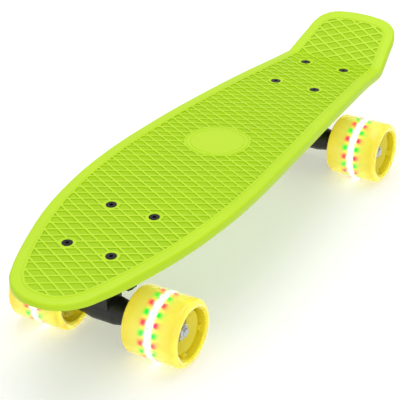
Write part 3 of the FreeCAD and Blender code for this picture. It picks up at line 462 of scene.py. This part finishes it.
# %% Deck outline as a slab
HALF_PLAN = [
    (20, -277.8), (34.6, -265), (41.6, -251.5), (47.6, -237), (57.4, -207), (65.4, -177), (71.5, -141),
    (75.4, -86), (71, 10.2), (65.2, 75.2), (58.6, 145.2), (53, 200.2), (51.4, 225.2), (46.7, 257.5),
    (43.3, 275), (38.6, 282.3), (30, 288), (14.5, 291.3),
]
plan_points = [(0, -282.3), *HALF_PLAN, (0, 292), *[(-x, y) for x, y in reversed(HALF_PLAN)]]
plan = bpy.data.curves.new("deck_plan", "CURVE")
plan.dimensions = "2D"
plan.fill_mode = "NONE"
plan.resolution_u = 7
spline = plan.splines.new("BEZIER")
spline.bezier_points.add(len(plan_points) - 1)
for handle, (x, y) in zip(spline.bezier_points, plan_points):
    handle.co = (x * MM, y * MM, -DECK_THICK)
    handle.handle_left_type = "AUTO"
    handle.handle_right_type = "AUTO"
spline.use_cyclic_u = True
plan_object = bpy.data.objects.new("deck_plan", plan)
bpy.context.collection.objects.link(plan_object)
bpy.context.view_layer.update()
plan_mesh = bpy.data.meshes.new_from_object(plan_object.evaluated_get(bpy.context.evaluated_depsgraph_get()))
bpy.data.objects.remove(plan_object)

deck = bmesh.new()
deck.from_mesh(plan_mesh)
bmesh.ops.translate(deck, verts=deck.verts, vec=(0, 0, -DECK_THICK - deck.verts[:][0].co.z))
bmesh.ops.remove_doubles(deck, verts=deck.verts, dist=0.01 * MM)
bmesh.ops.contextual_create(deck, geom=deck.edges[:])
slab = bmesh.ops.extrude_face_region(deck, geom=deck.faces[:])
raised = [item for item in slab["geom"] if isinstance(item, bmesh.types.BMVert)]
bmesh.ops.translate(deck, verts=raised, vec=(0, 0, DECK_THICK))
bmesh.ops.recalc_face_normals(deck, faces=deck.faces)
EDGE_ROUND = 2.6 * MM
rims = [edge for edge in deck.edges if edge.verts[0].co.z == edge.verts[1].co.z]
bmesh.ops.bevel(
    deck, geom=rims, offset=EDGE_ROUND, segments=5, profile=0.5, affect="EDGES", material=-1, clamp_overlap=True
)
print("the slab has", len(deck.faces), "faces")

# %% [markdown]
# ## Rim, ridge and underside
#
# A smooth band runs round the top, and a thin raised line closes it on the inside. Underneath, a shallow panel
# leaves a lip round the edge. Each is an inset of the big top or bottom face; the pads for the trucks come later.

# %% Inset the top and the bottom
top = max(deck.faces, key=lambda face: face.calc_area() * face.normal.z)
bottom = max(deck.faces, key=lambda face: -face.calc_area() * face.normal.z)
RIM_INSETS = ((6.4, 0), (0.5, 0.5), (0.9, 0), (0.5, -0.5))
UNDER_INSETS = ((7.0, 0), (1.5, -1.2))
for width, rise in RIM_INSETS:
    bmesh.ops.inset_region(deck, faces=[top], thickness=width * MM, depth=rise * MM, use_even_offset=True)
for width, rise in UNDER_INSETS:
    bmesh.ops.inset_region(deck, faces=[bottom], thickness=width * MM, depth=rise * MM, use_even_offset=True)
print("the slab has", len(deck.faces), "faces")

# %% [markdown]
# ## Helpers for joining and cutting
#
# The rest of the deck is cut from the slab as a mould would leave it. Blender's exact Boolean joins or cuts two
# closed shapes. Faces that a cutter leaves behind keep the cutter's material number, so the pressed cells can
# have their own finish: rougher, and darker in colour as painted shade in the recesses.

# %% Boolean and turning helpers
ETCHED_PAINTED_SHADE = 1
DECK_FINISHES = ("deck_plastic", "deck_plastic_etched_painted_shade")


def combined(base, other, operation):
    """A new bmesh: the base joined with the other, cut by it, or kept only inside it."""
    items = []
    for shape in (base, other):
        data = bpy.data.meshes.new("working")
        shape.to_mesh(data)
        shape.free()
        for finish in DECK_FINISHES:
            data.materials.append(finishes[finish])
        item = bpy.data.objects.new("working", data)
        bpy.context.collection.objects.link(item)
        items.append(item)
    boolean = items[0].modifiers.new("boolean", "BOOLEAN")
    boolean.object = items[1]
    boolean.operation = operation
    boolean.solver = "EXACT"
    made = bmesh.new()
    made.from_object(items[0], bpy.context.evaluated_depsgraph_get())
    for item in items:
        bpy.data.objects.remove(item)
    return made


def turn_profile(target, corners, axis, steps, centre=(0, 0, 0)):
    """Turn a closed profile about an axis through the centre, and add the closed ring to a bmesh."""
    points = [target.verts.new(corner) for corner in corners]
    edges = [target.edges.new(pair) for pair in zip(points, points[1:] + points[:1])]
    spun = bmesh.ops.spin(
        target, geom=points + edges, cent=centre, axis=axis, angle=2 * math.pi, steps=steps, use_merge=True
    )
    bmesh.ops.remove_doubles(target, verts=target.verts, dist=0.0005 * MM)
    bmesh.ops.recalc_face_normals(target, faces=target.faces)
    return spun


# %% [markdown]
# ## The waffle
#
# Two families of thin straight ridges cross the deck and leave diamond cells between them, so that a foot grips.
# Each cell is a four-sided cone with its point cut off. All the cones together are kept only where the field is:
# inside the raised line, and away from the smooth bosses round the bolts and the medallion.

# %% Cells of the waffle
RIDGE_ANGLE = math.radians(28.5)
RIDGE_PITCH = 9.2 * MM
RIDGE_HALF = 0.85 * MM
RIDGE_SLOPE = 0.3 * MM
CELL_DEPTH = 0.9 * MM
CELL_TOP = 1.0 * MM
CELL_ROWS = range(-54, 56)
CELL_COLUMNS = range(-8, 9)
half_across = RIDGE_PITCH / 2 / math.sin(RIDGE_ANGLE)
half_along = RIDGE_PITCH / 2 / math.cos(RIDGE_ANGLE)
half_pitch = RIDGE_PITCH / 2
floor_share = (half_pitch - RIDGE_HALF - RIDGE_SLOPE) / half_pitch
surface_share = (half_pitch - RIDGE_HALF) / half_pitch
mouth_share = surface_share + (surface_share - floor_share) * CELL_TOP / CELL_DEPTH
cells = bmesh.new()
for row in CELL_ROWS:
    for column in CELL_COLUMNS:
        if (row + column) % 2:
            continue
        place = Matrix.Translation((column * half_across, row * half_along, (CELL_TOP - CELL_DEPTH) / 2))
        size = Matrix.Diagonal((half_across, half_along, CELL_TOP + CELL_DEPTH, 1))
        bmesh.ops.create_cone(
            cells, cap_ends=True, segments=4, radius1=floor_share, radius2=mouth_share, depth=1,
            matrix=place @ size,
        )
bmesh.ops.recalc_face_normals(cells, faces=cells.faces)

# %% Field of the waffle
BOSS_ROUND = 7.3 * MM
BOLT_ALONG = (143.32, 206.68)
BOLT_ACROSS = (-20.64, 20.64)
MEDALLION = Vector((0, -5, 0)) * MM
MEDALLION_ROUND = 28.5 * MM
FIELD_HEIGHT = 6 * MM
field = bmesh.new()
field.from_mesh(plan_mesh)
bmesh.ops.translate(field, verts=field.verts, vec=(0, 0, -FIELD_HEIGHT / 2 - field.verts[:][0].co.z))
bmesh.ops.remove_doubles(field, verts=field.verts, dist=0.01 * MM)
ground = bmesh.ops.contextual_create(field, geom=field.edges[:])["faces"][0]
field_inset = EDGE_ROUND + sum(width for width, rise in RIM_INSETS) * MM + RIDGE_HALF
border = bmesh.ops.inset_region(
    field, faces=[ground], thickness=field_inset, depth=0, use_even_offset=True, use_boundary=True
)
bmesh.ops.delete(field, geom=border["faces"], context="FACES")
column_up = bmesh.ops.extrude_face_region(field, geom=field.faces[:])
raised = [item for item in column_up["geom"] if isinstance(item, bmesh.types.BMVert)]
bmesh.ops.translate(field, verts=raised, vec=(0, 0, FIELD_HEIGHT))
bmesh.ops.recalc_face_normals(field, faces=field.faces)
bolts = [
    Vector((across * MM, along * end * MM, 0))
    for along in BOLT_ALONG for across in BOLT_ACROSS for end in (-1, 1)
]
islands = bmesh.new()
for centre, radius in [(MEDALLION, MEDALLION_ROUND + RIDGE_HALF)] + [(bolt, BOSS_ROUND) for bolt in bolts]:
    bmesh.ops.create_cone(
        islands, cap_ends=True, segments=48, radius1=radius, radius2=radius, depth=2 * FIELD_HEIGHT,
        matrix=Matrix.Translation(centre),
    )
field = combined(field, islands, "DIFFERENCE")
cells = combined(cells, field, "INTERSECT")
# The cells' faces take the rougher finish with painted shade.
for face in cells.faces:
    face.material_index = ETCHED_PAINTED_SHADE
print("the waffle's cutter has", len(cells.faces), "faces")

# %% [markdown]
# ## Bosses, medallion and truck pads
#
# Each bolt has a countersunk hole in a boss with a thin raised ring. The medallion in the middle is bare, with
# two fine turned grooves. Underneath, a pad takes each truck's base plate.

# %% Cutters for holes and grooves, and the pads
HOLE_PROFILE = ((0, -20), (2.8, -20), (2.8, -2.15), (4.6, -0.35), (5.9, -0.35), (6.1, 0.6), (0, 0.6))
GROOVE_PROFILES = (
    ((27.1, -0.55), (27.7, -0.55), (28.1, 0.6), (26.7, 0.6)),
    ((23.6, -0.4), (24.0, -0.4), (24.4, 0.6), (23.2, 0.6)),
)
for bolt in bolts:
    corners = [bolt + Vector((radius, 0, height)) * MM for radius, height in HOLE_PROFILE]
    turn_profile(cells, corners, axis=(0, 0, 1), steps=40, centre=bolt)
for profile in GROOVE_PROFILES:
    corners = [MEDALLION + Vector((radius, 0, height)) * MM for radius, height in profile]
    turn_profile(cells, corners, axis=(0, 0, 1), steps=72, centre=MEDALLION)

PAD_SIZE = Vector((60, 86, 5.15)) * MM
PAD_BOTTOM = -12.15 * MM
PAD_ALONG = 175 * MM
PAD_CORNER = 6 * MM
pads = bmesh.new()
for along in (-PAD_ALONG, PAD_ALONG):
    place = Matrix.Translation((0, along, PAD_BOTTOM + PAD_SIZE.z / 2)) @ Matrix.Diagonal((*PAD_SIZE, 1))
    bmesh.ops.create_cube(pads, size=1, matrix=place)
upright = [edge for edge in pads.edges if abs(edge.verts[0].co.z - edge.verts[1].co.z) > 1 * MM]
bmesh.ops.bevel(
    pads, geom=upright, offset=PAD_CORNER, segments=6, profile=0.5, affect="EDGES", material=-1, clamp_overlap=True
)
deck = combined(deck, pads, "UNION")
deck = combined(deck, cells, "DIFFERENCE")
print("the carved deck has", len(deck.faces), "faces")

# %% [markdown]
# ## Bend the deck
#
# Long faces can't follow a curve, so the slab is sliced across every few millimetres, and closely at the bend.
# Then every point is lifted to its place.

# %% Slice and lift
SLICE_SPACING = 12
SLICES_EACH_WAY = 24
BEND_SLICES = 6
slices = [step * SLICE_SPACING * MM for step in range(-SLICES_EACH_WAY, SLICES_EACH_WAY + 1)]
slices += [KICK_START + (bend_end - KICK_START) * step / (BEND_SLICES - 1) for step in range(BEND_SLICES)]
for along in slices:
    bmesh.ops.bisect_plane(
        deck, geom=deck.verts[:] + deck.edges[:] + deck.faces[:], dist=0.001 * MM,
        plane_co=(0, along, 0), plane_no=(0, 1, 0),
    )
for vert in deck.verts:
    vert.co = on_deck(vert.co)
print("the deck now has", len(deck.faces), "faces")

# %% [markdown]
# ## Pieces that move
#
# One function finishes a bmesh as a piece. It shades the gentle edges smooth, gives the finishes, parents the
# piece to an empty for the body it rides on, and hides the CAD nodes it stands for.

# %% Make a bmesh a piece


def add_piece(name, mesh, finish_slot, body, replaced, sharp=35, finish_names=None):
    """Finish a bmesh as a piece that rides on a body and stands for CAD nodes."""
    limit = math.radians(sharp)
    for edge in mesh.edges:
        edge.smooth = len(edge.link_faces) == 2 and edge.calc_face_angle(0) < limit
    for face in mesh.faces:
        face.smooth = True
    data = bpy.data.meshes.new(name)
    mesh.to_mesh(data)
    mesh.free()
    for finish in finish_names or [finish_slot]:
        data.materials.append(finishes[finish])
    piece = bpy.data.objects.new(name, data)
    bpy.context.collection.objects.link(piece)
    if body:
        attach(piece, body)
    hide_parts(*replaced)
    return piece


add_piece("moulded_deck", deck, "deck_plastic", "board", ["deck"], finish_names=DECK_FINISHES)

# %% [markdown]
# ## Tyres
#
# A tyre is cast round the core, so its bore follows the core, with a pocket for the light board. Its profile is
# turned about the axle, and then the two shoulders are bevelled.

# %% Cast tyres
TYRE_ROUND = 29 * MM
TYRE_HALF = 25.75 * MM
TYRE_STEPS = 128
SHOULDER_ROUND = 4.9 * MM
TYRE_PROFILE = [
    (24.2, 23.05), (25.3, 23.4), (TYRE_HALF / MM, 24.6), (TYRE_HALF / MM, TYRE_ROUND / MM),
    (-TYRE_HALF / MM, TYRE_ROUND / MM), (-TYRE_HALF / MM, 24.6), (-25.3, 23.4), (-24.2, 23.05),
    (-7.9, 23.05), (-7.9, 25.25), (7.9, 25.25), (7.9, 23.05),
]

for end in AXLE_ALONG:
    for side_name in ("left", "right"):
        low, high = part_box(f"{end}_{side_name}_tyre")
        tyre = bmesh.new()
        corners = [Vector((along, 0, radius)) * MM for along, radius in TYRE_PROFILE]
        turn_profile(tyre, corners, axis=(1, 0, 0), steps=TYRE_STEPS)
        shoulders = [
            edge for edge in tyre.edges
            if all(abs(vert.co.yz.length - TYRE_ROUND) < 0.01 * MM for vert in edge.verts)
            and abs(edge.verts[0].co.x - edge.verts[1].co.x) < 0.01 * MM
        ]
        bmesh.ops.bevel(
            tyre, geom=shoulders, offset=SHOULDER_ROUND, segments=10, profile=0.5, affect="EDGES", material=-1,
            clamp_overlap=False,
        )
        middle = (Vector(low) + Vector(high)) / 2
        bmesh.ops.translate(tyre, verts=tyre.verts, vec=middle)
        finishes["clear_yellow_urethane"] = tyre_materials[end]
        add_piece(
            f"{end}_{side_name}_cast_tyre", tyre, "clear_yellow_urethane", f"{end}_{side_name}_wheel",
            [f"{end}_{side_name}_tyre"], sharp=40,
        )

# %% [markdown]
# ## Bushings
#
# The bushings are soft urethane rings squeezed between the board and the hanger, and they bend as the board
# leans. Each is a copy of its CAD ring, merged and sliced across its axis, and it stands in place of the CAD ring.

# %% Soft bushings
TRUCK_ALONG = 174.18 * MM
TRUCK_TOP = 85.125 * MM
KINGPIN_LEAN = math.radians(20)
RING_MIDDLE = Vector((0, -12, -33)) * MM
BUSHING_ENDS = (("board_bushing", 17 * MM, 4 * MM), ("road_bushing", -13 * MM, -4 * MM))
BUSHING_SLICES = 5
for end, side in (("front", -1), ("rear", 1)):
    truck = (
        Matrix.Translation((0, side * TRUCK_ALONG + APEX.y, TRUCK_TOP))
        @ Matrix.Rotation(0 if side > 0 else math.pi, 4, "Z")
        @ Matrix.Rotation(-TRUCK_TILT, 4, "X")
    )
    stack = truck @ Matrix.Translation(RING_MIDDLE) @ Matrix.Rotation(-KINGPIN_LEAN, 4, "X")
    upward = (stack.to_3x3() @ Vector((0, 0, 1))).normalized()
    for kind, board_end, ring_end in BUSHING_ENDS:
        bushing = bmesh.new()
        bushing.from_mesh(frame["nodes"][f"{end}_{kind}"].data)
        bmesh.ops.remove_doubles(bushing, verts=bushing.verts, dist=0.01 * MM)
        for step in range(1, BUSHING_SLICES + 1):
            height = board_end + (ring_end - board_end) * step / (BUSHING_SLICES + 1)
            bmesh.ops.bisect_plane(
                bushing, geom=bushing.verts[:] + bushing.edges[:] + bushing.faces[:], dist=0.001 * MM,
                plane_co=stack @ Vector((0, 0, height)), plane_no=upward,
            )
        piece = add_piece(f"{end}_{kind}_soft", bushing, "black_urethane", None, [f"{end}_{kind}"])
        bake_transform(piece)

# %% [markdown]
# ## Floor, light and camera
#
# The board stands on a pale floor under soft light, as for a catalogue. The floor looks white to the camera and
# in reflections, the world looks white to the camera and through clear parts, and the floor still takes the
# board's shadow.

# %% Floor
FLOOR_GLOW = 0.34
floor_mesh = bmesh.new()
bmesh.ops.create_grid(floor_mesh, x_segments=1, y_segments=1, size=6)
floor_data = bpy.data.meshes.new("floor")
floor_mesh.to_mesh(floor_data)
floor_mesh.free()
floor = bpy.data.objects.new("floor", floor_data)
bpy.context.collection.objects.link(floor)
material, tree, shader = start_material("floor_paper_white", {"Roughness": 0.9, "Specular IOR Level": 0.1})
shader.inputs["Base Color"].default_value = linear("E6E6E6")
path = add_node(tree, "ShaderNodeLightPath")
straight = add_node(
    tree, "ShaderNodeMath", {"operation": "ADD"},
    {0: path.outputs["Is Camera Ray"], 1: path.outputs["Is Glossy Ray"]},
)
seen = add_node(
    tree, "ShaderNodeMath", {"operation": "ADD", "use_clamp": True},
    {0: straight.outputs[0], 1: path.outputs["Is Transmission Ray"]},
)
glow = add_node(tree, "ShaderNodeMath", {"operation": "MULTIPLY"}, {0: seen.outputs[0], 1: FLOOR_GLOW})
tree.links.new(glow.outputs[0], shader.inputs["Emission Strength"])
shader.inputs["Emission Color"].default_value = (1, 1, 1, 1)
floor_data.materials.append(material)

# %% World
WORLD_LIGHT = 0.62
world = bpy.data.worlds.new("studio")
bpy.context.scene.world = world
world.use_nodes = True
tree = world.node_tree
path = add_node(tree, "ShaderNodeLightPath")
straight = add_node(
    tree, "ShaderNodeMath", {"operation": "ADD"},
    {0: path.outputs["Is Camera Ray"], 1: path.outputs["Is Transmission Ray"]},
)
strength = add_node(
    tree, "ShaderNodeMapRange", inputs={"Value": straight.outputs[0], "To Min": WORLD_LIGHT, "To Max": 1.0}
)
background = tree.nodes["Background"]
background.inputs["Color"].default_value = (1, 1, 1, 1)
tree.links.new(strength.outputs["Result"], background.inputs["Strength"])

# %% Lamps
LAMPS = {
    "overhead_softbox": ((-0.2, 0.3, 1.7), (0, 0, 0.1), 1.5, 12),
    "front_fill": ((1.3, -1.5, 0.8), (0, -0.1, 0.05), 1.0, 7),
}
for name, (place, target, size, power) in LAMPS.items():
    lamp = bpy.data.lights.new(name, "AREA")
    lamp.size = size
    lamp.energy = power
    lamp_object = bpy.data.objects.new(name, lamp)
    lamp_object.location = place
    lamp_object.rotation_euler = (Vector(target) - Vector(place)).to_track_quat("-Z", "Y").to_euler()
    bpy.context.collection.objects.link(lamp_object)

# %% Camera
CAMERA_FROM_APEX = Vector((599.8, -1058.1, 599.6)) * MM
CAMERA_DROP = 28.52
CAMERA_TURN = 30.39
camera_data = bpy.data.cameras.new("camera")
camera_data.lens = 138.6
camera_data.sensor_width = 36
camera = bpy.data.objects.new("camera", camera_data)
camera.location = APEX + CAMERA_FROM_APEX
camera.rotation_euler = (math.radians(90 - CAMERA_DROP), 0, math.radians(CAMERA_TURN))
bpy.context.collection.objects.link(camera)
bpy.context.scene.camera = camera
bpy.context.scene.view_settings.view_transform = "Standard"
